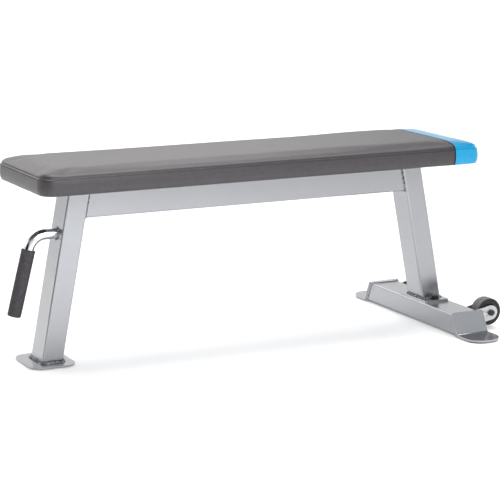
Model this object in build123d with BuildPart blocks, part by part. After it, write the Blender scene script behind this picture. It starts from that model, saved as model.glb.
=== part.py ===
from build123d import *
import math
import os

os.makedirs("parts", exist_ok=True)

# A flat padded bench. X runs along the bench, the carrying handle at -X and the
# wheels at +X. Z is up from the floor. All sizes are in millimetres.

# Pad
seat_height = 446.5
pad_thickness = 47.5  # at the pad's rounded edge
pad_crown = 5.5  # rise of the pad's middle above its rounded edge
pad_crown_margin = 62.0  # width of the rise, measured in from the pad's sides
pad_crown_corner = 12.0
pad_length = 1082.5
pad_width = 299.0
pad_offset = -4.5  # pad middle measured from the frame middle
end_panel_length = 70.0
handle_end_corner = 36.0
wheel_end_corner = 24.0
pad_top_round = 12.0
pad_bottom_round = 2.5
cover_thickness = 1.2
hem_width = 28.0
hem_opening_corner = 8.0
board_thickness = 12.0

# Steel frame
pad_overhang = 124.0  # pad end beyond a leg's middle, as the mean of the two ends
leg_lean = 10.65  # degrees from upright, feet outwards
leg_width = 49.0
leg_depth = 71.0
tube_corner = 4.0
tube_wall = 2.0
beam_side_step = 5.5  # beam side, inwards of the leg side
beam_height = 70.0
pad_plate_thickness = 3.0
pad_plate_length = 96.0
pad_plate_side_gap = 39.5  # pad side beyond the plate's side
pad_plate_corner = 8.0
pad_plate_inset = 12.0  # pad plate middle, inwards of the leg middle

# Fixings of the pad
pad_bolt_edge = 30.0  # bolt middle from the plate's side
pad_bolt_diameter = 8.0
pad_bolt_head_width = 13.0
pad_bolt_head_height = 5.3
pad_washer_diameter = 18.0
pad_washer_thickness = 1.6
bolt_hole_clearance = 0.5
t_nut_flange_diameter = 20.0
t_nut_flange_thickness = 1.5
t_nut_barrel_diameter = 10.5
t_nut_barrel_length = 9.5
t_nut_clearance = 0.1
thread_clearance = 0.05
pad_bolt_tip_setback = 1.0  # bolt tip below the top of the board

# Front foot
foot_plate_end_reach = 28.0  # added to the leg's width at each end of the plate
foot_plate_side_reach = 32.5  # plate beyond the leg at each side, across the bench
foot_plate_thickness = 4.0
foot_plate_corner = 28.0
foot_plate_offset = -3.5  # foot plate middle, measured from the leg foot
front_rubber_diameter = 22.0
front_rubber_thickness = 2.0
front_rubber_inset = 22.0

# Rear cross tube, its flange and its end feet
cross_tube_width = 75.0
cross_tube_height = 46.0
cross_tube_clearance = 4.5  # under the tube
cross_tube_offset = 0.4  # cross tube middle, measured from the leg foot
flange_end_reach = 8.0  # added to the leg's width at each end of the flange
flange_thickness = 5.5
flange_corner = 4.0
flange_offset = -1.0
flange_bolt_gap = 15.0  # bolt middle from the leg's side
flange_bolt_edge = 12.5  # bolt middle from the flange's side
flange_bolt_diameter = 10.0
flange_bolt_head_width = 16.0
flange_bolt_head_height = 6.4
flange_bolt_tip_reach = 5.0  # thread standing out below the weld nut
flange_washer_diameter = 20.0
flange_washer_thickness = 2.0
weld_nut_width = 16.0
weld_nut_height = 8.0
end_foot_side_reach = 4.5  # end foot beyond the tube's side
end_foot_thickness = 5.0
end_foot_top_rise = 5.0  # above the cross tube
end_foot_span = 97.9  # across the bench, from the top edge to the toe
end_foot_slant = 26.8  # degrees from upright
end_foot_reach = 291.5
end_foot_corner = 38.0
end_foot_top_corner = 5.0
end_foot_bend_inside = 3.0
rear_rubber_thickness = 3.0
rear_rubber_length = 52.0
rear_rubber_inset = 6.0  # from the toe's front and side edges
rear_rubber_corner = 26.0

# Transport wheels
wheel_tube_gap = 8.9  # tread to the cross tube
wheel_lift = 7.5  # tread above the floor
wheel_inset = 43.1  # wheel middle, inwards of the end foot's top edge
wheel_diameter = 64.5
wheel_width = 34.0
tyre_shoulder = 5.0
tyre_depth = 9.0
rim_wall = 3.0
rim_inset = 2.0  # rim side, inwards of the tyre's side
hub_barrel_diameter = 20.0
hub_web_thickness = 6.0
axle_diameter = 8.0
axle_running_clearance = 0.05
axle_head_width = 13.0
axle_head_height = 5.3
axle_nut_height = 8.0
axle_tip_reach = 2.0
bracket_thickness = 4.0
bracket_tube_step = 5.5  # the bracket is lower than the cross tube by twice this
bracket_root_rise = 2.7  # above the tube's middle
bracket_root_inset = 5.0
bracket_side_gap = 2.5  # bracket arm from the tyre's side
spacer_diameter = 16.0
spacer_play = 0.3

# Carrying handle
handle_height = 287.0
handle_tube_diameter = 24.0
handle_tube_wall = 1.5
handle_straight = 26.0
handle_bend_radius = 40.0
handle_bend_angle = 75.7
handle_root_overrun = 10.0
grip_start = 1.0
grip_length = 148.0
grip_wall = 3.25
grip_end_wall = 4.0
grip_end_round = 3.0

# Weld beads
bead = 4.0
small_bead = 3.0
bead_taper = 35.0

# Sizes that follow from the ones above
leg_spacing = pad_length - 2 * pad_overhang  # between leg middles, at the leg tops
beam_width = leg_depth - 2 * beam_side_step
pad_plate_width = pad_width - 2 * pad_plate_side_gap
pad_bolt_spread = pad_plate_width - 2 * pad_bolt_edge
foot_plate_length = leg_width + 2 * foot_plate_end_reach
foot_plate_width = leg_depth + 2 * foot_plate_side_reach
flange_length = leg_width + 2 * flange_end_reach
flange_bolt_spread = leg_depth + 2 * flange_bolt_gap
flange_width = flange_bolt_spread + 2 * flange_bolt_edge
end_foot_width = cross_tube_width + 2 * end_foot_side_reach
end_foot_top_z = cross_tube_clearance + cross_tube_height + end_foot_top_rise
end_foot_top_y = end_foot_reach - end_foot_span
axle_reach = cross_tube_width / 2 + wheel_tube_gap + wheel_diameter / 2
axle_height = wheel_lift + wheel_diameter / 2
wheel_y = end_foot_top_y - wheel_inset
rim_diameter = wheel_diameter - 2 * tyre_depth
rim_width = wheel_width - 2 * rim_inset
bracket_height = cross_tube_height - 2 * bracket_tube_step
bracket_root_height = cross_tube_clearance + cross_tube_height / 2 + bracket_root_rise
bracket_gap = wheel_width + 2 * bracket_side_gap
grip_diameter = handle_tube_diameter + 2 * grip_wall

# Heights of the stacked layers
pad_edge_z = seat_height - pad_crown
pad_bottom_z = pad_edge_z - pad_thickness
board_bottom_z = pad_bottom_z + cover_thickness
board_top_z = board_bottom_z + board_thickness
foam_edge_z = pad_edge_z - cover_thickness
leg_top_z = pad_bottom_z - pad_plate_thickness
beam_middle_z = leg_top_z - beam_height / 2
foot_plate_top_z = front_rubber_thickness + foot_plate_thickness
end_foot_flat_z = rear_rubber_thickness + end_foot_thickness
rear_rubber_y = end_foot_reach - rear_rubber_inset - rear_rubber_length / 2
cross_tube_bottom_z = cross_tube_clearance
cross_tube_top_z = cross_tube_bottom_z + cross_tube_height
flange_top_z = cross_tube_top_z + flange_thickness

lean = math.radians(leg_lean)
slant = math.radians(end_foot_slant)
leg_run = leg_width / math.cos(lean)  # length of the leg's level section

# The handle's lowest grip corner and the wheel treads bound the bench along X.
# The frame middle is set so that the whole bench is centred on X = 0.
bend = math.radians(handle_bend_angle)
handle_root = (
    -leg_spacing / 2 - leg_run / 2 - (leg_top_z - handle_height) * math.tan(lean)
)
grip_start_x = handle_root - handle_straight - handle_bend_radius * math.sin(bend)
grip_corner_reach = grip_start + grip_length - grip_end_round
handle_extent = (
    grip_start_x
    - grip_corner_reach * math.cos(bend)
    - (grip_diameter / 2 - grip_end_round) * math.sin(bend)
    - grip_end_round
)
rear_foot_reach = leg_spacing / 2 + (leg_top_z - flange_top_z) * math.tan(lean)
wheel_extent = rear_foot_reach + cross_tube_offset + axle_reach + wheel_diameter / 2
frame_x = -(handle_extent + wheel_extent) / 2

pad_x = frame_x + pad_offset
seam_x = pad_x + pad_length / 2 - end_panel_length
cross_tube_x = frame_x + rear_foot_reach + cross_tube_offset
cross_tube_face_x = cross_tube_x + cross_tube_width / 2
flange_x = frame_x + rear_foot_reach + flange_offset
flange_bolt_x = frame_x + rear_foot_reach
axle_x = cross_tube_x + axle_reach
handle_root_x = frame_x + handle_root


def leg_x(side, z):
    """X of a leg's centre line at height z. side is -1 at the handle, 1 at the wheels."""
    return frame_x + side * (leg_spacing / 2 + (leg_top_z - z) * math.tan(lean))


def leg_face(side, z, facing):
    """Plane of a leg's face at height z, its normal pointing away from the bench middle.

    facing is 1 for the outer face and -1 for the inner face.
    """
    x = leg_x(side, z) + side * facing * leg_run / 2
    return Plane(
        origin=(x, 0, z),
        x_dir=(0, 1, 0),
        z_dir=(side * math.cos(lean), 0, math.sin(lean)),
    )


def leg_section(side, z):
    """Plane across a leg's centre line at height z, its normal running up the leg."""
    return Plane(
        origin=(leg_x(side, z), 0, z),
        x_dir=(math.cos(lean), 0, side * math.sin(lean)),
        z_dir=(-side * math.sin(lean), 0, math.cos(lean)),
    )


def leg_tube(side, bottom_z):
    """Adds a leaning square-cut leg, cut level at its foot and at its top."""
    overrun = leg_width
    with BuildSketch(leg_section(side, bottom_z - overrun)) as section:
        RectangleRounded(leg_width, leg_depth, tube_corner)
        RectangleRounded(
            leg_width - 2 * tube_wall,
            leg_depth - 2 * tube_wall,
            tube_corner - tube_wall,
            mode=Mode.SUBTRACT,
        )
    extrude(section.sketch, amount=(leg_top_z - bottom_z + 2 * overrun) / math.cos(lean))
    split(bisect_by=Plane.XY.offset(bottom_z), keep=Keep.TOP)
    split(bisect_by=Plane.XY.offset(leg_top_z), keep=Keep.BOTTOM)


def leg_foot_bead(side, floor_z):
    """Adds the weld bead round a leg where it stands on a plate."""
    with BuildSketch(Plane.XY.offset(floor_z)) as section:
        with Locations((leg_x(side, floor_z), 0)):
            RectangleRounded(leg_run + 2 * bead, leg_depth + 2 * bead, tube_corner + bead)
    extrude(section.sketch, amount=bead, taper=bead_taper)
    with BuildSketch(leg_section(side, floor_z - leg_width)) as section:
        RectangleRounded(leg_width, leg_depth, tube_corner)
    extrude(section.sketch, amount=3 * leg_width, mode=Mode.SUBTRACT)


def end_foot_plane(side):
    """Plane of the tube-side face of an end foot's slanted part, its normal outwards."""
    y = end_foot_top_y + (end_foot_top_z - end_foot_flat_z) * math.tan(slant)
    y -= end_foot_thickness / math.cos(slant)
    return Plane(
        origin=(cross_tube_x, side * y, end_foot_flat_z),
        x_dir=(1, 0, 0),
        z_dir=(0, side * math.cos(slant), math.sin(slant)),
    )


def cross_tube_section():
    """Plane across the cross tube at the bench's middle, its normal along +Y."""
    return Plane(
        origin=(cross_tube_x, 0, cross_tube_bottom_z + cross_tube_height / 2),
        x_dir=(1, 0, 0),
        z_dir=(0, 1, 0),
    )


def pad_outline(inset):
    """Draws the pad's plan shape, smaller by inset all round."""
    with Locations((pad_x, 0)):
        Rectangle(pad_length - 2 * inset, pad_width - 2 * inset)
    fillet(vertices().group_by(Axis.X)[0], max(handle_end_corner - inset, pad_crown_corner))
    fillet(vertices().group_by(Axis.X)[-1], max(wheel_end_corner - inset, pad_crown_corner))


def pad_crown_rise(edge_z):
    """Adds the low rise from the pad's rounded edge to its level middle."""
    with BuildSketch(Plane.XY.offset(edge_z)) as low:
        pad_outline(pad_top_round)
    with BuildSketch(Plane.XY.offset(edge_z + pad_crown)) as high:
        pad_outline(pad_crown_margin)
    loft(sections=[low.sketch, high.sketch], ruled=True)


def pad_cover():
    """Adds the whole sewn cover: a skin over the top and sides, with a turned-in hem."""
    with BuildSketch(Plane.XY.offset(pad_bottom_z)) as section:
        pad_outline(0)
    extrude(section.sketch, amount=pad_thickness)
    fillet(edges().group_by(Axis.Z)[-1], pad_top_round)
    fillet(edges().group_by(Axis.Z)[0], pad_bottom_round)
    pad_crown_rise(pad_edge_z)
    with BuildSketch(Plane.XY.offset(board_bottom_z)) as section:
        pad_outline(cover_thickness)
    extrude(section.sketch, amount=board_thickness, mode=Mode.SUBTRACT)
    add(foam_core.part, mode=Mode.SUBTRACT)
    with BuildSketch(Plane.XY.offset(pad_bottom_z)) as section:
        underside_opening()
    extrude(section.sketch, amount=cover_thickness, mode=Mode.SUBTRACT)


def underside_opening():
    """Draws the opening that the hem leaves on the pad's underside."""
    with Locations((pad_x, 0)):
        RectangleRounded(
            pad_length - 2 * hem_width, pad_width - 2 * hem_width, hem_opening_corner
        )


pad_plate_spots = []
pad_bolt_spots = []
for side in (-1, 1):
    plate_x = leg_x(side, leg_top_z) - side * pad_plate_inset
    pad_plate_spots.append((plate_x, 0))
    for across in (-1, 1):
        pad_bolt_spots.append((plate_x, across * pad_bolt_spread / 2))
flange_bolt_spots = [(flange_bolt_x, across * flange_bolt_spread / 2) for across in (-1, 1)]


# ---------------------------------------------------------------- pad
with BuildPart() as foam_core:
    with BuildSketch(Plane.XY.offset(board_top_z)):
        pad_outline(cover_thickness)
    extrude(amount=foam_edge_z - board_top_z)
    fillet(edges().group_by(Axis.Z)[-1], pad_top_round - cover_thickness)
    pad_crown_rise(foam_edge_z)
foam_core.part.label = "foam_core"
export_step(foam_core.part, "parts/foam_core.step")

with BuildPart() as cover_main:
    pad_cover()
    split(bisect_by=Plane.YZ.offset(seam_x), keep=Keep.BOTTOM)
cover_main.part.label = "cover_main"
export_step(cover_main.part, "parts/cover_main.step")

with BuildPart() as cover_end_panel:
    pad_cover()
    split(bisect_by=Plane.YZ.offset(seam_x), keep=Keep.TOP)
cover_end_panel.part.label = "cover_end_panel"
export_step(cover_end_panel.part, "parts/cover_end_panel.step")

with BuildPart() as seat_board:
    with BuildSketch(Plane.XY.offset(board_bottom_z)):
        pad_outline(cover_thickness)
    extrude(amount=board_thickness)
    with BuildSketch(Plane.XY.offset(board_bottom_z)):
        with Locations(*pad_bolt_spots):
            Circle(t_nut_barrel_diameter / 2 + t_nut_clearance)
    extrude(amount=board_thickness, mode=Mode.SUBTRACT)
    with BuildSketch(Plane.XY.offset(board_top_z - t_nut_flange_thickness)):
        with Locations(*pad_bolt_spots):
            Circle(t_nut_flange_diameter / 2 + t_nut_clearance)
    extrude(amount=t_nut_flange_thickness, mode=Mode.SUBTRACT)
seat_board.part.label = "seat_board"
export_step(seat_board.part, "parts/seat_board.step")

with BuildPart() as underside_cloth:
    with BuildSketch(Plane.XY.offset(pad_bottom_z)):
        underside_opening()
        with Locations(*pad_bolt_spots):
            Circle(pad_bolt_diameter / 2 + bolt_hole_clearance, mode=Mode.SUBTRACT)
    extrude(amount=cover_thickness)
underside_cloth.part.label = "underside_cloth"
export_step(underside_cloth.part, "parts/underside_cloth.step")

with BuildPart() as pad_t_nuts:
    with BuildSketch(Plane.XY.offset(board_top_z - t_nut_flange_thickness)):
        with Locations(*pad_bolt_spots):
            Circle(t_nut_flange_diameter / 2)
    extrude(amount=t_nut_flange_thickness)
    with BuildSketch(Plane.XY.offset(board_top_z)):
        with Locations(*pad_bolt_spots):
            Circle(t_nut_barrel_diameter / 2)
    extrude(amount=-t_nut_flange_thickness - t_nut_barrel_length)
    with BuildSketch(Plane.XY.offset(board_top_z)):
        with Locations(*pad_bolt_spots):
            Circle(pad_bolt_diameter / 2 + thread_clearance)
    extrude(amount=-board_thickness, mode=Mode.SUBTRACT)
pad_t_nuts.part.label = "pad_t_nuts"
export_step(pad_t_nuts.part, "parts/pad_t_nuts.step")

with BuildPart() as pad_bolts:
    with BuildSketch(Plane.XY.offset(leg_top_z - pad_washer_thickness)):
        with Locations(*pad_bolt_spots):
            RegularPolygon(pad_bolt_head_width / 2, 6, major_radius=False)
    extrude(amount=-pad_bolt_head_height)
    with BuildSketch(Plane.XY.offset(leg_top_z - pad_washer_thickness)):
        with Locations(*pad_bolt_spots):
            Circle(pad_bolt_diameter / 2)
    extrude(amount=board_top_z - pad_bolt_tip_setback - leg_top_z + pad_washer_thickness)
pad_bolts.part.label = "pad_bolts"
export_step(pad_bolts.part, "parts/pad_bolts.step")

with BuildPart() as pad_washers:
    with BuildSketch(Plane.XY.offset(leg_top_z)):
        with Locations(*pad_bolt_spots):
            Circle(pad_washer_diameter / 2)
            Circle(pad_bolt_diameter / 2 + thread_clearance, mode=Mode.SUBTRACT)
    extrude(amount=-pad_washer_thickness)
pad_washers.part.label = "pad_washers"
export_step(pad_washers.part, "parts/pad_washers.step")


def pad_plate(spot):
    """Adds a flat plate welded over a leg's top, drilled for its two pad bolts."""
    with BuildSketch(Plane.XY.offset(leg_top_z)) as section:
        with Locations(spot):
            RectangleRounded(pad_plate_length, pad_plate_width, pad_plate_corner)
        with Locations(*pad_bolt_spots):
            Circle(pad_bolt_diameter / 2 + bolt_hole_clearance, mode=Mode.SUBTRACT)
    extrude(section.sketch, amount=pad_plate_thickness)


with BuildPart() as pad_plate_front:
    pad_plate(pad_plate_spots[0])
pad_plate_front.part.label = "pad_plate_front"
export_step(pad_plate_front.part, "parts/pad_plate_front.step")

with BuildPart() as pad_plate_rear:
    pad_plate(pad_plate_spots[1])
pad_plate_rear.part.label = "pad_plate_rear"
export_step(pad_plate_rear.part, "parts/pad_plate_rear.step")


# ---------------------------------------------------------------- frame
with BuildPart() as top_beam:
    beam_section = Plane(
        origin=(frame_x, 0, beam_middle_z), x_dir=(0, 1, 0), z_dir=(1, 0, 0)
    )
    with BuildSketch(beam_section):
        RectangleRounded(beam_width, beam_height, tube_corner)
        RectangleRounded(
            beam_width - 2 * tube_wall,
            beam_height - 2 * tube_wall,
            tube_corner - tube_wall,
            mode=Mode.SUBTRACT,
        )
    extrude(amount=leg_spacing / 2, both=True)
    for side in (-1, 1):
        split(bisect_by=leg_face(side, beam_middle_z, -1), keep=Keep.BOTTOM)
top_beam.part.label = "top_beam"
export_step(top_beam.part, "parts/top_beam.step")

with BuildPart() as front_leg:
    leg_tube(-1, foot_plate_top_z)
front_leg.part.label = "front_leg"
export_step(front_leg.part, "parts/front_leg.step")

with BuildPart() as rear_leg:
    leg_tube(1, flange_top_z)
rear_leg.part.label = "rear_leg"
export_step(rear_leg.part, "parts/rear_leg.step")

with BuildPart() as weld_beam_ends:
    for side in (-1, 1):
        with BuildSketch(leg_face(side, beam_middle_z, -1)):
            RectangleRounded(
                beam_width + 2 * small_bead,
                beam_height / math.cos(lean) + 2 * small_bead,
                tube_corner + small_bead,
            )
        extrude(amount=-small_bead, taper=bead_taper)
    with BuildSketch(beam_section):
        RectangleRounded(beam_width, beam_height, tube_corner)
    extrude(amount=leg_spacing / 2, both=True, mode=Mode.SUBTRACT)
    split(bisect_by=Plane.XY.offset(leg_top_z), keep=Keep.BOTTOM)
weld_beam_ends.part.label = "weld_beam_ends"
export_step(weld_beam_ends.part, "parts/weld_beam_ends.step")

foot_plate_x = leg_x(-1, foot_plate_top_z) + foot_plate_offset
with BuildPart() as front_foot_plate:
    with BuildSketch(Plane.XY.offset(front_rubber_thickness)):
        with Locations((foot_plate_x, 0)):
            RectangleRounded(foot_plate_length, foot_plate_width, foot_plate_corner)
    extrude(amount=foot_plate_thickness)
front_foot_plate.part.label = "front_foot_plate"
export_step(front_foot_plate.part, "parts/front_foot_plate.step")

with BuildPart() as front_rubber_feet:
    rubber_step_x = foot_plate_length - 2 * front_rubber_inset
    rubber_step_y = foot_plate_width - 2 * front_rubber_inset
    with BuildSketch(Plane.XY):
        with Locations((foot_plate_x, 0)):
            with GridLocations(rubber_step_x, rubber_step_y, 2, 2):
                Circle(front_rubber_diameter / 2)
    extrude(amount=front_rubber_thickness)
front_rubber_feet.part.label = "front_rubber_feet"
export_step(front_rubber_feet.part, "parts/front_rubber_feet.step")

with BuildPart() as weld_front_foot:
    leg_foot_bead(-1, foot_plate_top_z)
weld_front_foot.part.label = "weld_front_foot"
export_step(weld_front_foot.part, "parts/weld_front_foot.step")


# ---------------------------------------------------------------- rear foot
with BuildPart() as rear_flange_plate:
    with BuildSketch(Plane.XY.offset(cross_tube_top_z)):
        with Locations((flange_x, 0)):
            RectangleRounded(flange_length, flange_width, flange_corner)
        with Locations(*flange_bolt_spots):
            Circle(flange_bolt_diameter / 2 + bolt_hole_clearance, mode=Mode.SUBTRACT)
    extrude(amount=flange_thickness)
rear_flange_plate.part.label = "rear_flange_plate"
export_step(rear_flange_plate.part, "parts/rear_flange_plate.step")

with BuildPart() as weld_rear_flange:
    leg_foot_bead(1, flange_top_z)
weld_rear_flange.part.label = "weld_rear_flange"
export_step(weld_rear_flange.part, "parts/weld_rear_flange.step")

with BuildPart() as cross_tube:
    with BuildSketch(cross_tube_section()):
        RectangleRounded(cross_tube_width, cross_tube_height, tube_corner)
        RectangleRounded(
            cross_tube_width - 2 * tube_wall,
            cross_tube_height - 2 * tube_wall,
            tube_corner - tube_wall,
            mode=Mode.SUBTRACT,
        )
    extrude(amount=end_foot_reach, both=True)
    for side in (-1, 1):
        split(bisect_by=end_foot_plane(side), keep=Keep.BOTTOM)
    with BuildSketch(Plane.XY.offset(cross_tube_top_z)):
        with Locations(*flange_bolt_spots):
            Circle(flange_bolt_diameter / 2 + bolt_hole_clearance)
    extrude(amount=-2 * tube_wall, mode=Mode.SUBTRACT)
cross_tube.part.label = "cross_tube"
export_step(cross_tube.part, "parts/cross_tube.step")

with BuildPart() as flange_bolts:
    with BuildSketch(Plane.XY.offset(flange_top_z + flange_washer_thickness)):
        with Locations(*flange_bolt_spots):
            RegularPolygon(flange_bolt_head_width / 2, 6, major_radius=False)
    extrude(amount=flange_bolt_head_height)
    with BuildSketch(Plane.XY.offset(flange_top_z + flange_washer_thickness)):
        with Locations(*flange_bolt_spots):
            Circle(flange_bolt_diameter / 2)
    shank_drop = flange_washer_thickness + flange_thickness + tube_wall
    extrude(amount=-(shank_drop + weld_nut_height + flange_bolt_tip_reach))
flange_bolts.part.label = "flange_bolts"
export_step(flange_bolts.part, "parts/flange_bolts.step")

with BuildPart() as flange_washers:
    with BuildSketch(Plane.XY.offset(flange_top_z)):
        with Locations(*flange_bolt_spots):
            Circle(flange_washer_diameter / 2)
            Circle(flange_bolt_diameter / 2 + thread_clearance, mode=Mode.SUBTRACT)
    extrude(amount=flange_washer_thickness)
flange_washers.part.label = "flange_washers"
export_step(flange_washers.part, "parts/flange_washers.step")

with BuildPart() as flange_weld_nuts:
    with BuildSketch(Plane.XY.offset(cross_tube_top_z - tube_wall)):
        with Locations(*flange_bolt_spots):
            RegularPolygon(weld_nut_width / 2, 6, major_radius=False)
            Circle(flange_bolt_diameter / 2 + thread_clearance, mode=Mode.SUBTRACT)
    extrude(amount=-weld_nut_height)
flange_weld_nuts.part.label = "flange_weld_nuts"
export_step(flange_weld_nuts.part, "parts/flange_weld_nuts.step")


def end_foot(side):
    """Adds a plate that slants down off the tube's cut end and bends out flat."""
    rise = end_foot_top_z - end_foot_flat_z
    outer_bend_y = end_foot_top_y + rise * math.tan(slant)
    skew = end_foot_thickness / math.cos(slant)
    under_y = outer_bend_y - skew + end_foot_thickness * math.tan(slant)
    inner_top_y = end_foot_top_y - end_foot_thickness * math.cos(slant)
    inner_top_z = end_foot_top_z - end_foot_thickness * math.sin(slant)
    profile = Plane(origin=(cross_tube_x, 0, 0), x_dir=(0, side, 0), z_dir=(side, 0, 0))
    with BuildSketch(profile) as section:
        with BuildLine():
            Polyline(
                (end_foot_top_y, end_foot_top_z),
                (outer_bend_y, end_foot_flat_z),
                (end_foot_reach, end_foot_flat_z),
                (end_foot_reach, rear_rubber_thickness),
                (under_y, rear_rubber_thickness),
                (inner_top_y, inner_top_z),
                close=True,
            )
        make_face()
        upper_bend = vertices().sort_by_distance((outer_bend_y, end_foot_flat_z))[0]
        fillet(upper_bend, end_foot_bend_inside)
        lower_bend = vertices().sort_by_distance((under_y, rear_rubber_thickness))[0]
        fillet(lower_bend, end_foot_bend_inside + end_foot_thickness)
    extrude(section.sketch, amount=end_foot_width / 2, both=True)
    toe_edges = edges().filter_by(Axis.Z).group_by(Axis.Y)
    fillet(toe_edges[-1 if side > 0 else 0], end_foot_corner)
    top_edges = edges().filter_by(lambda e: abs(e.length - end_foot_thickness) < 0.01)
    fillet(top_edges.group_by(Axis.Z)[-1], end_foot_top_corner)


with BuildPart() as end_foot_right:
    end_foot(-1)
end_foot_right.part.label = "end_foot_right"
export_step(end_foot_right.part, "parts/end_foot_right.step")

with BuildPart() as end_foot_left:
    end_foot(1)
end_foot_left.part.label = "end_foot_left"
export_step(end_foot_left.part, "parts/end_foot_left.step")

with BuildPart() as rear_rubber_feet:
    for side in (-1, 1):
        with BuildSketch(Plane.XY):
            with Locations((cross_tube_x, side * rear_rubber_y)):
                Rectangle(end_foot_width - 2 * rear_rubber_inset, rear_rubber_length)
            fillet(vertices().group_by(Axis.Y)[-1 if side > 0 else 0], rear_rubber_corner)
        extrude(amount=rear_rubber_thickness)
rear_rubber_feet.part.label = "rear_rubber_feet"
export_step(rear_rubber_feet.part, "parts/rear_rubber_feet.step")

with BuildPart() as weld_end_feet:
    for side in (-1, 1):
        tube_middle_z = cross_tube_bottom_z + cross_tube_height / 2
        up_the_face = (tube_middle_z - end_foot_flat_z) / math.cos(slant)
        with BuildSketch(end_foot_plane(side)):
            with Locations((0, -side * up_the_face)):
                RectangleRounded(
                    cross_tube_width + 2 * small_bead,
                    cross_tube_height / math.cos(slant) + 2 * small_bead,
                    tube_corner + small_bead,
                )
        extrude(amount=-small_bead, taper=bead_taper)
    with BuildSketch(cross_tube_section()):
        RectangleRounded(cross_tube_width, cross_tube_height, tube_corner)
    extrude(amount=end_foot_reach, both=True, mode=Mode.SUBTRACT)
    split(bisect_by=Plane.XY.offset(cross_tube_bottom_z), keep=Keep.TOP)
weld_end_feet.part.label = "weld_end_feet"
export_step(weld_end_feet.part, "parts/weld_end_feet.step")


# ---------------------------------------------------------------- wheels
def bracket_pair(side):
    """Adds the two flat arms that carry one wheel, welded to the tube's outer face."""
    root_x = cross_tube_face_x - bracket_root_inset
    slope = math.degrees(
        math.atan2(axle_height - bracket_root_height, axle_x - root_x)
    )
    reach = math.hypot(axle_height - bracket_root_height, axle_x - root_x)
    for across in (-1, 1):
        middle_y = side * wheel_y + across * (bracket_gap + bracket_thickness) / 2
        arm = Plane(origin=(axle_x, middle_y, axle_height), x_dir=(1, 0, 0), z_dir=(0, -1, 0))
        with BuildSketch(arm) as section:
            with Locations(Rotation(0, 0, slope)):
                with Locations((-reach / 2, 0)):
                    Rectangle(reach, bracket_height)
            Circle(bracket_height / 2)
            Circle(axle_diameter / 2 + thread_clearance, mode=Mode.SUBTRACT)
        extrude(section.sketch, amount=bracket_thickness / 2, both=True)
    split(bisect_by=Plane.YZ.offset(cross_tube_face_x), keep=Keep.TOP)


with BuildPart() as wheel_bracket_right:
    bracket_pair(-1)
wheel_bracket_right.part.label = "wheel_bracket_right"
export_step(wheel_bracket_right.part, "parts/wheel_bracket_right.step")

with BuildPart() as wheel_bracket_left:
    bracket_pair(1)
wheel_bracket_left.part.label = "wheel_bracket_left"
export_step(wheel_bracket_left.part, "parts/wheel_bracket_left.step")

with BuildPart() as weld_wheel_brackets:
    for side in (-1, 1):
        for across in (-1, 1):
            arm_y = side * wheel_y + across * bracket_gap / 2
            far_y = arm_y + across * bracket_thickness
            with BuildSketch(Plane.XY.offset(bracket_root_height - bracket_height / 3)):
                with BuildLine():
                    Polyline(
                        (cross_tube_face_x, far_y),
                        (cross_tube_face_x + small_bead, far_y),
                        (cross_tube_face_x, far_y + across * small_bead),
                        close=True,
                    )
                make_face()
            extrude(amount=2 * bracket_height / 3)
weld_wheel_brackets.part.label = "weld_wheel_brackets"
export_step(weld_wheel_brackets.part, "parts/weld_wheel_brackets.step")


def wheel_plane(side):
    """Plane across one wheel's axle at the wheel's middle, its normal along +Y."""
    return Plane(origin=(axle_x, side * wheel_y, axle_height), x_dir=(1, 0, 0), z_dir=(0, 1, 0))


def tyre(side):
    """Adds a solid tyre with rounded shoulders."""
    with BuildSketch(wheel_plane(side)) as section:
        Circle(wheel_diameter / 2)
    extrude(section.sketch, amount=wheel_width / 2, both=True)
    fillet(edges().filter_by(GeomType.CIRCLE), tyre_shoulder)
    with BuildSketch(wheel_plane(side)) as section:
        Circle(rim_diameter / 2)
    extrude(section.sketch, amount=wheel_width, both=True, mode=Mode.SUBTRACT)


def hub(side):
    """Adds a moulded hub: barrel, web and rim, bored to run on the axle bolt."""
    with BuildSketch(wheel_plane(side)) as section:
        Circle(rim_diameter / 2)
        Circle(rim_diameter / 2 - rim_wall, mode=Mode.SUBTRACT)
    extrude(section.sketch, amount=rim_width / 2, both=True)
    with BuildSketch(wheel_plane(side)) as section:
        Circle(rim_diameter / 2 - rim_wall / 2)
    extrude(section.sketch, amount=hub_web_thickness / 2, both=True)
    with BuildSketch(wheel_plane(side)) as section:
        Circle(hub_barrel_diameter / 2)
    extrude(section.sketch, amount=wheel_width / 2, both=True)
    with BuildSketch(wheel_plane(side)) as section:
        Circle(axle_diameter / 2 + axle_running_clearance)
    extrude(section.sketch, amount=wheel_width, both=True, mode=Mode.SUBTRACT)


with BuildPart() as tyre_right:
    tyre(-1)
tyre_right.part.label = "tyre_right"
export_step(tyre_right.part, "parts/tyre_right.step")

with BuildPart() as tyre_left:
    tyre(1)
tyre_left.part.label = "tyre_left"
export_step(tyre_left.part, "parts/tyre_left.step")

with BuildPart() as wheel_hub_right:
    hub(-1)
wheel_hub_right.part.label = "wheel_hub_right"
export_step(wheel_hub_right.part, "parts/wheel_hub_right.step")

with BuildPart() as wheel_hub_left:
    hub(1)
wheel_hub_left.part.label = "wheel_hub_left"
export_step(wheel_hub_left.part, "parts/wheel_hub_left.step")


def axle_station(side, distance):
    """Plane across an axle, distance outwards of the wheel's middle, normal outwards."""
    y = side * (wheel_y + distance)
    return Plane(origin=(axle_x, y, axle_height), x_dir=(side, 0, 0), z_dir=(0, side, 0))


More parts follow.
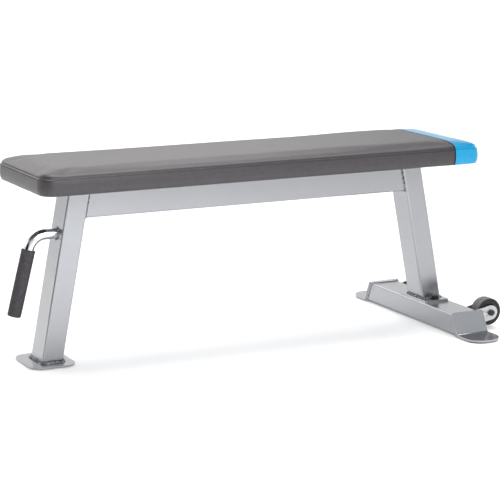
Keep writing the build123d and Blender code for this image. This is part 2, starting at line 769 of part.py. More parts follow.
bracket_outside = bracket_gap / 2 + bracket_thickness
with BuildPart() as axle_bolts:
    for side in (-1, 1):
        with BuildSketch(axle_station(side, bracket_outside)):
            RegularPolygon(axle_head_width / 2, 6, major_radius=False)
        extrude(amount=axle_head_height)
        with BuildSketch(axle_station(side, bracket_outside)):
            Circle(axle_diameter / 2)
        extrude(amount=-(2 * bracket_outside + axle_nut_height + axle_tip_reach))
axle_bolts.part.label = "axle_bolts"
export_step(axle_bolts.part, "parts/axle_bolts.step")

with BuildPart() as axle_nuts:
    for side in (-1, 1):
        with BuildSketch(axle_station(side, -bracket_outside)):
            RegularPolygon(axle_head_width / 2, 6, major_radius=False)
            Circle(axle_diameter / 2 + thread_clearance, mode=Mode.SUBTRACT)
        extrude(amount=-axle_nut_height)
axle_nuts.part.label = "axle_nuts"
export_step(axle_nuts.part, "parts/axle_nuts.step")

with BuildPart() as axle_spacers:
    spacer_thickness = (bracket_gap - wheel_width) / 2 - spacer_play
    for side in (-1, 1):
        for across in (-1, 1):
            with BuildSketch(axle_station(side, across * bracket_gap / 2)):
                Circle(spacer_diameter / 2)
                Circle(axle_diameter / 2 + thread_clearance, mode=Mode.SUBTRACT)
            extrude(amount=-across * spacer_thickness)
axle_spacers.part.label = "axle_spacers"
export_step(axle_spacers.part, "parts/axle_spacers.step")


# ---------------------------------------------------------------- handle
with BuildPart() as handle_tube:
    with BuildLine(Plane.XZ) as handle_path:
        root = Line(
            (handle_root_x + handle_root_overrun, handle_height),
            (handle_root_x - handle_straight, handle_height),
        )
        turn = JernArc(
            start=root @ 1,
            tangent=(-1, 0),
            radius=handle_bend_radius,
            arc_size=handle_bend_angle,
        )
        tail_length = grip_start + grip_length - grip_end_wall
        tail = Line(
            turn @ 1,
            turn @ 1 + Vector(-math.cos(bend), 0, -math.sin(bend)) * tail_length,
        )
    with BuildSketch(Plane(origin=root @ 0, x_dir=(0, 1, 0), z_dir=(-1, 0, 0))):
        Circle(handle_tube_diameter / 2)
        Circle(handle_tube_diameter / 2 - handle_tube_wall, mode=Mode.SUBTRACT)
    sweep(path=handle_path.line)
    split(bisect_by=leg_face(-1, handle_height, 1), keep=Keep.TOP)
handle_tube.part.label = "handle_tube"
export_step(handle_tube.part, "parts/handle_tube.step")

grip_axis = Plane(
    origin=(
        handle_root_x - handle_straight - handle_bend_radius * math.sin(bend),
        0,
        handle_height - handle_bend_radius * (1 - math.cos(bend)),
    ),
    x_dir=(0, 1, 0),
    z_dir=(-math.cos(bend), 0, -math.sin(bend)),
)
with BuildPart() as handle_grip:
    with BuildSketch(grip_axis.offset(grip_start)):
        Circle(grip_diameter / 2)
    extrude(amount=grip_length)
    fillet(edges().filter_by(GeomType.CIRCLE).group_by(Axis.Z)[0], grip_end_round)
    with BuildSketch(grip_axis):
        Circle(handle_tube_diameter / 2)
    extrude(amount=grip_start + grip_length - grip_end_wall, mode=Mode.SUBTRACT)
handle_grip.part.label = "handle_grip"
export_step(handle_grip.part, "parts/handle_grip.step")

with BuildPart() as weld_handle:
    with BuildSketch(leg_face(-1, handle_height, 1)):
        Circle(handle_tube_diameter / 2 + small_bead)
    extrude(amount=small_bead, taper=bead_taper)
    with BuildSketch(Plane.YZ.offset(handle_root_x)):
        with Locations((0, handle_height)):
            Circle(handle_tube_diameter / 2)
    extrude(amount=handle_straight, both=True, mode=Mode.SUBTRACT)
weld_handle.part.label = "weld_handle"
export_step(weld_handle.part, "parts/weld_handle.step")
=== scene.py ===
"""Looks of a flat weight bench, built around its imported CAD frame. All lengths are in metres."""

import math
import random

import bmesh
import bpy
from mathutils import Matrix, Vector, noise
from mathutils.bvhtree import BVHTree


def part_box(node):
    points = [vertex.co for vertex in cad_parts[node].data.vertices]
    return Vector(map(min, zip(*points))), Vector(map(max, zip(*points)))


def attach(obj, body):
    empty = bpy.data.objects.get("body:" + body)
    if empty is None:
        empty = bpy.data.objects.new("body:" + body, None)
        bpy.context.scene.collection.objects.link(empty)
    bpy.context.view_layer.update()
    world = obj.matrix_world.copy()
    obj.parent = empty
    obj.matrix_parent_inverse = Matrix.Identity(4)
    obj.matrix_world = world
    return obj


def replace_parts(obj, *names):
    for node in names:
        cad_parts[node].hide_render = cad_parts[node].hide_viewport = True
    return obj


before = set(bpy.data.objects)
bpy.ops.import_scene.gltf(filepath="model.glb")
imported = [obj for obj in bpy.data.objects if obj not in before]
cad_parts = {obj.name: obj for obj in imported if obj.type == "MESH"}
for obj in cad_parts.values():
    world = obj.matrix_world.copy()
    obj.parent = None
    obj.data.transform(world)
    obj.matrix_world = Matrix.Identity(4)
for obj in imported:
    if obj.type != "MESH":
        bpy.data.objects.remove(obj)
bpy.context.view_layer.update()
MM = 0.001
random.seed(7)

scene = bpy.context.scene
scene.view_settings.view_transform = "Standard"
scene.view_settings.look = "None"


# ---------------------------------------------------------------- places read from the frame
main_low, main_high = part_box("cover_main")
end_low, end_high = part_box("cover_end_panel")
PAD_X0 = main_low.x
PAD_X1 = end_high.x
PAD_HALF = main_high.y
PAD_BOTTOM = main_low.z
PAD_TOP = main_high.z
SEAM_X = main_high.x
PAD_CROWN = 5.5 * MM
PAD_EDGE = PAD_TOP - PAD_CROWN
HANDLE_CORNER = 36 * MM
WHEEL_CORNER = 24 * MM
TOP_ROUND = 12 * MM
CROWN_MARGIN = 48 * MM  # where the pad's top turns level, measured in from its sides
CROWN_SPREAD = 0.5  # growth of the plan corners' radius, for each unit of inset
CROWN_SLOPE = 0.235  # radians, where the rounded edge meets the crown
TUCK_WIDTH = 6 * MM  # how far the cover is pulled in round the board's lower edge
TUCK_HEIGHT = 18 * MM
HEM_WIDTH = 28 * MM
HEM_EDGE = 3 * MM
HEM_RECESS = 4 * MM  # how far the cover's underside lies above the dust cloth
RIM_SEAM_Z = PAD_EDGE - 9 * MM
FILL_LIMIT = 2.4 * MM  # the most that the filling may move the cover
FILL_FRAMES = 20
PAD_VOXEL = 5.5 * MM
STITCH_PITCH = 6 * MM
LEAN = math.radians(10.65)  # of the legs, from upright
SLANT = math.radians(26.8)  # of the end feet, from upright
BEND = math.radians(75.7)  # of the handle, from level
TUBE_CORNER = 4 * MM
BEAD = 4 * MM
SMALL_BEAD = 3 * MM


# ---------------------------------------------------------------- materials
class Nodes:
    """A short way to write a procedural material."""

    def __init__(self, name):
        self.material = bpy.data.materials.new(name)
        self.material.use_nodes = True
        self.tree = self.material.node_tree
        self.shader = self.tree.nodes["Principled BSDF"]
        self.place = self.tree.nodes.new("ShaderNodeTexCoord").outputs["Object"]

    def add(self, kind, **values):
        node = self.tree.nodes.new(kind)
        for key, value in values.items():
            if key in node.inputs:
                node.inputs[key].default_value = value
            else:
                setattr(node, key, value)
        return node

    def link(self, source, target):
        self.tree.links.new(source, target)

    def noise(self, scale, detail=3.0, roughness=0.55, stretch=None):
        node = self.add("ShaderNodeTexNoise", Scale=scale, Detail=detail, Roughness=roughness)
        place = self.place
        if stretch:
            mapping = self.add("ShaderNodeMapping")
            mapping.inputs["Scale"].default_value = stretch
            self.link(self.place, mapping.inputs["Vector"])
            place = mapping.outputs["Vector"]
        self.link(place, node.inputs["Vector"])
        return node.outputs["Fac"]

    def cells(self, scale):
        node = self.add("ShaderNodeTexVoronoi", Scale=scale, feature="F1")
        self.link(self.place, node.inputs["Vector"])
        return node.outputs["Distance"]

    def ramp(self, source, stops):
        node = self.add("ShaderNodeValToRGB")
        band = node.color_ramp
        while len(band.elements) < len(stops):
            band.elements.new(0.5)
        for element, (at, color) in zip(band.elements, stops):
            element.position = at
            element.color = (*color, 1)
        self.link(source, node.inputs["Fac"])
        return node.outputs["Color"]

    def spread(self, source, low, high):
        node = self.add("ShaderNodeMapRange")
        node.inputs["From Min"].default_value = 0.25
        node.inputs["From Max"].default_value = 0.75
        node.inputs["To Min"].default_value = low
        node.inputs["To Max"].default_value = high
        self.link(source, node.inputs["Value"])
        return node.outputs["Result"]

    def bump(self, layers):
        """layers are (height source, strength, distance), the coarsest first."""
        normal = None
        for height, strength, distance in layers:
            node = self.add("ShaderNodeBump", Strength=strength, Distance=distance)
            self.link(height, node.inputs["Height"])
            if normal:
                self.link(normal, node.inputs["Normal"])
            normal = node.outputs["Normal"]
        self.link(normal, self.shader.inputs["Normal"])

    def color(self, source):
        self.link(source, self.shader.inputs["Base Color"])

    def rough(self, source):
        self.link(source, self.shader.inputs["Roughness"])

    def set(self, **values):
        for key, value in values.items():
            self.shader.inputs[key.replace("_", " ")].default_value = value
        return self.material


def vinyl_black():
    m = Nodes("vinyl_black")
    m.color(m.ramp(m.noise(90, 4), [(0.3, (0.027, 0.023, 0.026)), (0.7, (0.037, 0.032, 0.035))]))
    m.rough(m.spread(m.noise(120, 4), 0.37, 0.42))
    m.bump([(m.cells(820), 0.30, 0.00035), (m.noise(2600, 2), 0.18, 0.00012)])
    return m.set(IOR=1.5, Specular_IOR_Level=0.6)


def vinyl_blue():
    m = Nodes("vinyl_blue")
    m.color(m.ramp(m.noise(60, 3), [(0.3, (0.0, 0.245, 0.46)), (0.7, (0.0, 0.28, 0.52))]))
    m.rough(m.spread(m.noise(90, 3), 0.20, 0.26))
    m.bump([(m.cells(820), 0.12, 0.0003)])
    return m.set(IOR=1.5, Specular_IOR_Level=0.35, Coat_Weight=0.25, Coat_Roughness=0.1)


def vinyl_seam():
    m = Nodes("vinyl_seam")
    m.color(m.ramp(m.noise(90, 3), [(0.3, (0.004, 0.007, 0.016)), (0.7, (0.010, 0.018, 0.035))]))
    m.rough(m.spread(m.noise(150, 3), 0.42, 0.56))
    m.bump([(m.cells(900), 0.3, 0.0003)])
    return m.set(IOR=1.5, Specular_IOR_Level=0.2)


def thread():
    m = Nodes("thread")
    m.color(m.ramp(m.noise(500, 2), [(0.3, (0.010, 0.010, 0.012)), (0.7, (0.030, 0.028, 0.032))]))
    m.rough(m.spread(m.noise(900, 2), 0.5, 0.7))
    m.bump([(m.noise(3800, 2), 0.5, 0.0002)])
    return m.set(IOR=1.45)


def dust_cloth():
    m = Nodes("dust_cloth")
    m.color(m.ramp(m.noise(240, 5), [(0.3, (0.014, 0.014, 0.015)), (0.7, (0.034, 0.034, 0.036))]))
    m.rough(m.spread(m.noise(300, 3), 0.85, 0.97))
    m.bump([(m.noise(30, 3), 0.3, 0.002), (m.noise(1800, 4), 0.6, 0.0004)])
    return m.set(IOR=1.4)


def silver_paint():
    m = Nodes("silver_paint")
    m.color(m.ramp(m.noise(900, 2, 0.7), [(0.28, (0.285, 0.29, 0.302)), (0.72, (0.365, 0.37, 0.388))]))
    m.rough(m.spread(m.noise(34, 4), 0.20, 0.27))
    m.bump([(m.noise(55, 3), 0.05, 0.0015), (m.noise(1500, 3), 0.10, 0.0002)])
    return m.set(Metallic=0.82, IOR=1.5, Coat_Weight=0.35, Coat_Roughness=0.14)


def weld_metal():
    m = Nodes("weld_metal")
    # Mottled from near black to light grey: partly the weld's own darker tone, partly painted shade in
    # the ripples and painted glints on their ridges.
    m.color(m.ramp(m.noise(190, 4), [(0.38, (0.03, 0.03, 0.035)), (0.66, (0.42, 0.42, 0.44))]))
    m.rough(m.spread(m.noise(160, 3), 0.22, 0.42))
    m.bump([(m.noise(420, 3), 0.5, 0.0012)])
    return m.set(Metallic=0.85, IOR=1.5)


def zinc():
    m = Nodes("zinc")
    m.color(m.ramp(m.noise(130, 4), [(0.3, (0.40, 0.40, 0.41)), (0.7, (0.52, 0.52, 0.53))]))
    m.rough(m.spread(m.noise(80, 3, 0.5, (1, 1, 14)), 0.26, 0.40))
    m.bump([(m.noise(240, 3, 0.5, (1, 1, 12)), 0.12, 0.0004)])
    return m.set(Metallic=0.95)


def black_steel():
    m = Nodes("black_steel")
    m.color(m.ramp(m.noise(260, 4), [(0.3, (0.010, 0.010, 0.012)), (0.7, (0.030, 0.030, 0.034))]))
    m.rough(m.spread(m.noise(200, 3), 0.30, 0.46))
    m.bump([(m.noise(700, 3), 0.2, 0.0003)])
    return m.set(Metallic=0.4, IOR=1.5)


def chrome():
    m = Nodes("chrome")
    m.color(m.ramp(m.noise(40, 3), [(0.3, (0.66, 0.66, 0.68)), (0.7, (0.76, 0.76, 0.78))]))
    m.rough(m.spread(m.noise(120, 4), 0.12, 0.18))
    m.bump([(m.noise(90, 2), 0.03, 0.0006)])
    return m.set(Metallic=1.0)


def grip_foam():
    m = Nodes("grip_foam")
    m.color(m.ramp(m.noise(160, 4), [(0.3, (0.030, 0.026, 0.030)), (0.7, (0.050, 0.045, 0.051))]))
    m.rough(m.spread(m.noise(220, 3), 0.62, 0.78))
    m.bump([(m.noise(60, 2), 0.12, 0.0015), (m.cells(1500), 0.4, 0.00035)])
    return m.set(IOR=1.45)


def foot_rubber():
    m = Nodes("foot_rubber")
    m.color(m.ramp(m.noise(200, 4), [(0.3, (0.012, 0.012, 0.013)), (0.7, (0.032, 0.031, 0.031))]))
    m.rough(m.spread(m.noise(240, 3), 0.66, 0.84))
    m.bump([(m.noise(900, 4), 0.3, 0.0003)])
    return m.set(IOR=1.5)


def tyre_rubber():
    """Black on the sides, with dust worn into the tread."""
    m = Nodes("tyre_rubber")
    facing = m.add("ShaderNodeNewGeometry").outputs["True Normal"]
    split = m.add("ShaderNodeSeparateXYZ")
    m.link(facing, split.inputs["Vector"])
    side = m.add("ShaderNodeMath", operation="ABSOLUTE")
    m.link(split.outputs["Y"], side.inputs[0])
    tread = m.add("ShaderNodeMapRange")
    tread.inputs["From Min"].default_value = 0.75
    tread.inputs["From Max"].default_value = 0.10
    m.link(side.outputs[0], tread.inputs["Value"])
    dusty = m.add("ShaderNodeMath", operation="MULTIPLY")
    m.link(tread.outputs["Result"], dusty.inputs[0])
    m.link(m.spread(m.noise(150, 4), 0.6, 1.0), dusty.inputs[1])
    m.color(m.ramp(dusty.outputs[0], [(0.0, (0.010, 0.010, 0.010)), (0.95, (0.205, 0.183, 0.170))]))
    m.rough(m.spread(m.noise(180, 3), 0.62, 0.85))
    m.bump([(m.noise(500, 4), 0.35, 0.0005)])
    return m.set(IOR=1.5)


def hub_plastic():
    m = Nodes("hub_plastic")
    m.color(m.ramp(m.noise(120, 3), [(0.3, (0.020, 0.020, 0.022)), (0.7, (0.042, 0.042, 0.045))]))
    m.rough(m.spread(m.noise(160, 3), 0.42, 0.58))
    m.bump([(m.noise(1200, 3), 0.2, 0.0002)])
    return m.set(IOR=1.46)


def spacer_plastic():
    m = Nodes("spacer_plastic")
    m.color(m.ramp(m.noise(120, 3), [(0.3, (0.60, 0.59, 0.55)), (0.7, (0.72, 0.71, 0.67))]))
    m.rough(m.spread(m.noise(160, 3), 0.45, 0.6))
    return m.set(IOR=1.46)


def plywood():
    m = Nodes("plywood")
    grain = m.noise(30, 6, 0.6, (1, 9, 60))
    m.color(m.ramp(grain, [(0.3, (0.36, 0.22, 0.11)), (0.7, (0.62, 0.45, 0.27))]))
    m.rough(m.spread(grain, 0.6, 0.8))
    m.bump([(grain, 0.3, 0.0006)])
    return m.set(IOR=1.5)


def foam():
    m = Nodes("foam")
    m.color(m.ramp(m.noise(400, 4), [(0.3, (0.58, 0.52, 0.36)), (0.7, (0.74, 0.69, 0.52))]))
    m.rough(m.spread(m.noise(300, 3), 0.86, 0.98))
    m.bump([(m.cells(900), 0.6, 0.0008)])
    return m.set(IOR=1.4)


def pale_floor():
    m = Nodes("pale_floor")
    m.color(m.ramp(m.noise(3, 3), [(0.3, (0.93, 0.93, 0.93)), (0.7, (0.95, 0.95, 0.95))]))
    m.rough(m.spread(m.noise(8, 2), 0.75, 0.85))
    return m.set(IOR=1.3, Specular_IOR_Level=0.2, Emission_Color=(1, 1, 1, 1), Emission_Strength=0.15)


MATERIALS = {
    make.__name__: make()
    for make in (
        vinyl_black, vinyl_blue, vinyl_seam, thread, dust_cloth, silver_paint, weld_metal, zinc,
        black_steel, chrome, grip_foam, foot_rubber, tyre_rubber, hub_plastic, spacer_plastic,
        plywood, foam, pale_floor,
    )
}

NODE_LOOKS = {
    "silver_paint": (
        "top_beam", "front_leg", "rear_leg", "front_foot_plate", "rear_flange_plate", "cross_tube",
        "end_foot_right", "end_foot_left", "pad_plate_front", "pad_plate_rear",
    ),
    "zinc": (
        "pad_t_nuts", "pad_washers", "flange_weld_nuts", "wheel_bracket_right",
        "wheel_bracket_left", "axle_nuts",
    ),
    "black_steel": ("pad_bolts", "flange_bolts", "flange_washers", "axle_bolts"),
    "foot_rubber": ("front_rubber_feet", "rear_rubber_feet"),
    "hub_plastic": ("wheel_hub_right", "wheel_hub_left"),
    "spacer_plastic": ("axle_spacers",),
    "chrome": ("handle_tube",),
    "plywood": ("seat_board",),
    "dust_cloth": ("underside_cloth",),
    "weld_metal": (
        "weld_beam_ends", "weld_front_foot", "weld_rear_flange", "weld_end_feet",
        "weld_wheel_brackets", "weld_handle",
    ),
    "tyre_rubber": ("tyre_right", "tyre_left"),
    "grip_foam": ("handle_grip",),
    "foam": ("foam_core",),
    "vinyl_black": ("cover_main",),
    "vinyl_blue": ("cover_end_panel",),
}
for look, nodes in NODE_LOOKS.items():
    for node in nodes:
        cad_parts[node].data.materials.clear()
        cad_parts[node].data.materials.append(MATERIALS[look])


def skin(bm, loops, ring=False, capped=True):
    """Faces between loops of points. ring joins the last loop to the first one."""
    pairs = list(zip(loops, loops[1:]))
    if ring:
        pairs.append((loops[-1], loops[0]))
    for low, high in pairs:
        size = len(low)
        for i in range(size):
            bm.faces.new((low[i], low[(i + 1) % size], high[(i + 1) % size], high[i]))
    if capped and not ring:
        bm.faces.new(loops[0])
        bm.faces.new(loops[-1])


def turns(count):
    """Angles that divide a full turn."""
    return [2 * math.pi * i / count for i in range(count)]


def piece(name, bm, look, body="frame", smooth=True):
    """Turns a bmesh into a named piece that rides on a CAD body."""
    mesh = bpy.data.meshes.new(name)
    bmesh.ops.recalc_face_normals(bm, faces=bm.faces)
    bm.to_mesh(mesh)
    bm.free()
    obj = bpy.data.objects.new(name, mesh)
    scene.collection.objects.link(obj)
    for polygon in mesh.polygons:
        polygon.use_smooth = smooth
    mesh.materials.append(MATERIALS[look])
    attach(obj, body)
    return obj


# ---------------------------------------------------------------- pad
def pad_outline(inset, step=8 * MM):
    """Points round the pad's plan shape, smaller by inset, as (place, outward way).

    Every inset gives the same number of points, so that the rings of the pad can be joined.
    """
    corners = (
        (PAD_X1, -1, WHEEL_CORNER, -90), (PAD_X1, 1, WHEEL_CORNER, 0),
        (PAD_X0, 1, HANDLE_CORNER, 90), (PAD_X0, -1, HANDLE_CORNER, 180),
    )
    arcs = []
    full_ends = []
    for x, side, radius, start in corners:
        inward = -1 if x == PAD_X1 else 1
        reach = radius - min(inset, TOP_ROUND) + max(0.0, inset - TOP_ROUND) * CROWN_SPREAD
        setback = inset + reach
        centre = Vector((x + inward * setback, side * (PAD_HALF - setback)))
        full_centre = Vector((x + inward * radius, side * (PAD_HALF - radius)))
        arc = []
        for i in range(10):
            angle = math.radians(start + 10 * i)
            out = Vector((math.cos(angle), math.sin(angle)))
            arc.append((centre + out * reach, out))
        arcs.append(arc)
        full_ends.append((full_centre + arc[0][1] * radius, full_centre + arc[-1][1] * radius))
    points = []
    for index, arc in enumerate(arcs):
        after = (index + 1) % len(arcs)
        points += arc
        gap = arcs[after][0][0] - arc[-1][0]
        count = max(1, round((full_ends[after][0] - full_ends[index][1]).length / step))
        for i in range(1, count):
            points.append((arc[-1][0] + gap * i / count, arc[-1][1]))
    return points


def pad_form():
    """A closed form of the pad, made of rings up its sides."""
    bm = bmesh.new()
    rings = [(HEM_WIDTH, PAD_BOTTOM)]
    for i in range(7):
        angle = math.pi / 2 * i / 6
        rise = TUCK_HEIGHT * (1 - math.cos(angle))
        rings.append((TUCK_WIDTH * (1 - math.sin(angle)), PAD_BOTTOM + rise))
    rings += [(0, PAD_BOTTOM + h * MM) for h in (23, 28, 33)]
    for i in range(7):
        angle = (math.pi / 2 - CROWN_SLOPE) * i / 6
        drop = TOP_ROUND * (1 - math.sin(angle))
        rings.append((TOP_ROUND * (1 - math.cos(angle)), PAD_EDGE - drop))
    edge_inset, edge_z = rings[-1]
    for share in (0.2, 0.4, 0.6, 0.8, 1.0):
        lift = (PAD_TOP - edge_z) * math.sin(share * math.pi / 2)
        rings.append((edge_inset + (CROWN_MARGIN - edge_inset) * share, edge_z + lift))
    loops = []
    for inset, z in rings:
        loops.append([bm.verts.new((point.x, point.y, z)) for point, _ in pad_outline(inset)])
    skin(bm, loops)
    bmesh.ops.recalc_face_normals(bm, faces=bm.faces)
    return bm


def fade(distance, reach):
    """Falls from 1 at no distance to 0 at reach and beyond."""
    return max(0.0, 1 - distance / reach)


def swell(obj):
    """Fills the cover by cloth simulation, then holds each point near to where it was."""
    mesh = obj.data
    rest = [v.co.copy() for v in mesh.vertices]
    held = obj.vertex_groups.new(name="held")
    for v in mesh.vertices:
        bottom = fade(v.co.z - PAD_BOTTOM, 9 * MM)
        rim_seam = fade(abs(v.co.z - RIM_SEAM_Z), 6 * MM) * 0.75
        end_seam = fade(abs(v.co.x - SEAM_X), 7 * MM) * 0.85
        held.add([v.index], min(1.0, max(bottom, rim_seam, end_seam)), "REPLACE")
    cloth = obj.modifiers.new("swell", "CLOTH")
    cloth.settings.quality = 5
    cloth.settings.mass = 0.35
    cloth.settings.tension_stiffness = 18
    cloth.settings.compression_stiffness = 18
    cloth.settings.bending_stiffness = 2.0
    cloth.settings.use_pressure = True
    cloth.settings.uniform_pressure_force = 4.0
    cloth.settings.vertex_group_mass = "held"
    cloth.settings.effector_weights.gravity = 0
    cloth.point_cache.frame_start = 1
    cloth.point_cache.frame_end = FILL_FRAMES
    for step in range(1, FILL_FRAMES + 1):
        scene.frame_set(step)
    shaped = obj.evaluated_get(bpy.context.evaluated_depsgraph_get())
    moved = [v.co.copy() for v in shaped.data.vertices]
    obj.modifiers.remove(cloth)
    scene.frame_set(1)
    for v, start, end in zip(mesh.vertices, rest, moved):
        offset = end - start
        if offset.length > FILL_LIMIT:
            offset *= FILL_LIMIT / offset.length
        v.co = start + offset
    obj.vertex_groups.clear()


def outline_gap(point):
    """How far a point is outside the pad's plan shape, and the way straight out of it."""
    radius = HANDLE_CORNER if point.x < 0 else WHEEL_CORNER
    core_x = min(max(point.x, PAD_X0 + radius), PAD_X1 - radius)
    core_y = min(max(point.y, -PAD_HALF + radius), PAD_HALF - radius)
    out = Vector((point.x - core_x, point.y - core_y, 0))
    if out.length > 1e-6:
        return out.length - radius, out.normalized()
    walls = (
        (PAD_HALF - point.y, Vector((0, 1, 0))), (PAD_HALF + point.y, Vector((0, -1, 0))),
        (PAD_X1 - point.x, Vector((1, 0, 0))), (point.x - PAD_X0, Vector((-1, 0, 0))),
    )
    inside, way = min(walls, key=lambda wall: wall[0])
    return -inside, way


def true_up(point):
    """Sets a point of the filled cover's lower half back over the board's edge and hem."""
    gap, out = outline_gap(point)
    height = point.z - PAD_BOTTOM
    across, up = gap / TUCK_WIDTH + 1, height / TUCK_HEIGHT - 1
    if across > 0 and up < 0:
        size = math.hypot(across, up)
        new_gap, new_height = (across / size - 1) * TUCK_WIDTH, (up / size + 1) * TUCK_HEIGHT
    elif up >= 0:
        new_gap, new_height = max(gap, 0.0), height
    else:
        recess = min(1.0, max(0.0, (-gap - HEM_WIDTH) / HEM_EDGE + 1))
        new_gap, new_height = gap, recess * HEM_RECESS
    if across > 0:
        fullness = 2.4 * MM if out.x > 0.3 else 1.0 * MM  # the blue end is fuller
        share = new_height / (PAD_EDGE - TOP_ROUND - PAD_BOTTOM)
        new_gap += fullness * math.sin(math.pi * min(1.0, max(0.0, share)))
    point = point + out * (new_gap - gap)
    point.z = PAD_BOTTOM + new_height
    return point


def pleats(point, out):
    """How far the gathered vinyl stands out at a rounded corner's lower edge."""
    turned = abs(out.x * out.y) * 2  # 0 along the sides, 1 half way round a corner
    if turned < 0.12:
        return 0.0
    folds_in_a_turn = 22
    fold = math.sin(math.atan2(out.y, out.x) * folds_in_a_turn)
    near_bottom = fade(point.z - PAD_BOTTOM, 17 * MM)
    return turned * near_bottom ** 1.5 * (1 + fold) * 0.9 * MM


def cut(bm, planes):
    """Adds a line of edges where each plane meets the surface."""
    for co, no in planes:
        geom = bm.verts[:] + bm.edges[:] + bm.faces[:]
        bmesh.ops.bisect_plane(bm, geom=geom, dist=1e-6, plane_co=co, plane_no=no)


def groove(distance, width):
    """A smooth hump from 0 to 1 that falls off within width of a seam."""
    share = fade(abs(distance), width)
    return share * share * (3 - 2 * share)


def make_pad():
    """The filled cover: one simulated form, cut along its seams into a black and a blue piece."""
    bm = pad_form()
    mesh = bpy.data.meshes.new("pad_form")
    bm.to_mesh(mesh)
    bm.free()
    form = bpy.data.objects.new("pad_form", mesh)
    scene.collection.objects.link(form)
    bpy.context.view_layer.objects.active = form
    remesh = form.modifiers.new("even", "REMESH")
    remesh.mode = "VOXEL"
    remesh.voxel_size = PAD_VOXEL
    bpy.context.view_layer.update()
    even = bpy.data.meshes.new_from_object(form.evaluated_get(bpy.context.evaluated_depsgraph_get()))
    form.modifiers.remove(remesh)
    form.data = even
    swell(form)
    smooth = form.modifiers.new("settle", "SMOOTH")
    smooth.factor = 0.5
    smooth.iterations = 8
    finer = form.modifiers.new("finer", "SUBSURF")
    finer.levels = 1
    finer.render_levels = 1
    bpy.context.view_layer.update()
    fine = bpy.data.meshes.new_from_object(form.evaluated_get(bpy.context.evaluated_depsgraph_get()))
    bm = bmesh.new()
    bm.from_mesh(fine)
    bpy.data.objects.remove(form)

    for v in bm.verts:
        if v.co.z > PAD_EDGE - TOP_ROUND:
            continue
        v.co = true_up(v.co)
        gap, out = outline_gap(v.co)
        if gap < -2 * TUCK_WIDTH:
            continue
        wave = noise.noise(Vector((v.co.x * 14, v.co.y * 14, 3.0)))
        low = fade(v.co.z - PAD_BOTTOM, 20 * MM)
        v.co += out * (pleats(v.co, out) + (0.5 + 0.5 * wave) * low * 0.7 * MM)
        v.co.z += wave * low * 0.45 * MM

    # edges along both seams, close enough together to hold a groove
    planes = []
    for step in (-3.2, -1.6, -0.6, 0.0, 0.6, 1.6, 3.2):
        planes.append(((0, 0, RIM_SEAM_Z + step * MM), (0, 0, 1)))
        planes.append(((SEAM_X + step * MM, 0, 0), (1, 0, 0)))
    cut(bm, planes)
    bm.normal_update()
    for v in bm.verts:
        depth = groove(v.co.x - SEAM_X, 2.8 * MM) * 1.0 * MM
        on_side = abs(v.normal.z) < 0.85
        if on_side:
            depth = max(depth, groove(v.co.z - RIM_SEAM_Z, 2.0 * MM) * 1.1 * MM)
        v.co -= v.normal * depth

    parts = {}
    for name, look, slot, keep_low in (
        ("pad_cover", "vinyl_black", "vinyl_black", True),
        ("pad_end_panel", "vinyl_blue", "vinyl_blue", False),
    ):
        half = bm.copy()
        geom = half.verts[:] + half.edges[:] + half.faces[:]
        bmesh.ops.bisect_plane(
            half, geom=geom, dist=1e-6, plane_co=(SEAM_X, 0, 0), plane_no=(1, 0, 0),
            clear_outer=keep_low, clear_inner=not keep_low,
        )
        rim = [e for e in half.edges if e.is_boundary]
        bmesh.ops.holes_fill(half, edges=rim, sides=0)
        parts[name] = piece(name, half, look)
    bm.free()
    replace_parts(parts["pad_cover"], "cover_main", "foam_core")
    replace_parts(parts["pad_end_panel"], "cover_end_panel")
    return parts


pad = make_pad()


def pad_surface():
    """A tree of the finished cover for placing the stitching on it."""
    vertices, polygons = [], []
    for obj in pad.values():
        start = len(vertices)
        vertices += [v.co.copy() for v in obj.data.vertices]
        polygons += [[start + i for i in p.vertices] for p in obj.data.polygons]
    return BVHTree.FromPolygons(vertices, polygons)


surface = pad_surface()


def capsule(bm, at, along, up, length, radius):
    """One stitch: a short rounded thread laid along a direction."""
    across = along.cross(up).normalized()
    rings = ((-0.5, 0.35), (-0.36, 0.9), (0.0, 1.0), (0.36, 0.9), (0.5, 0.35))
    flatness = 0.7
    loops = []
    for share, size in rings:
        loop = []
        for angle in turns(6):
            way = across * math.cos(angle) + up * math.sin(angle) * flatness
            loop.append(bm.verts.new(at + along * length * share + way * radius * size))
        loops.append(loop)
    skin(bm, loops)


def topstitching(offset):
    """Stitches round the black cover, offset above or below its rim seam."""
    bm = bmesh.new()
    outline = [p for p, _ in pad_outline(0, 4 * MM)]
    travelled = 0.0
    due = 0.0
    for here, there in zip(outline, outline[1:] + outline[:1]):
        run = (there - here).length
        if run < 1e-7:
            continue
        while due < travelled + run:
            flat = here + (there - here) * ((due - travelled) / run)
            due += STITCH_PITCH
            if flat.x > SEAM_X - 3.5 * MM:
                continue
            out = outline_gap(Vector((flat.x, flat.y, 0)))[1]
            start = Vector((flat.x, flat.y, RIM_SEAM_Z + offset)) + out * 15 * MM
            hit, normal, _, _ = surface.ray_cast(start, -out, 0.05)
            if hit is None:
                continue
            along = Vector((there.x - here.x, there.y - here.y, 0)).normalized()
            tilt = random.uniform(-0.05, 0.05)
            along = (along + Vector((0, 0, tilt))).normalized()
            capsule(bm, hit + normal * 0.2 * MM, along, normal, 3.4 * MM, 0.85 * MM)
        travelled += run
    return bm


piece("pad_topstitch_low", topstitching(-3.6 * MM), "thread")


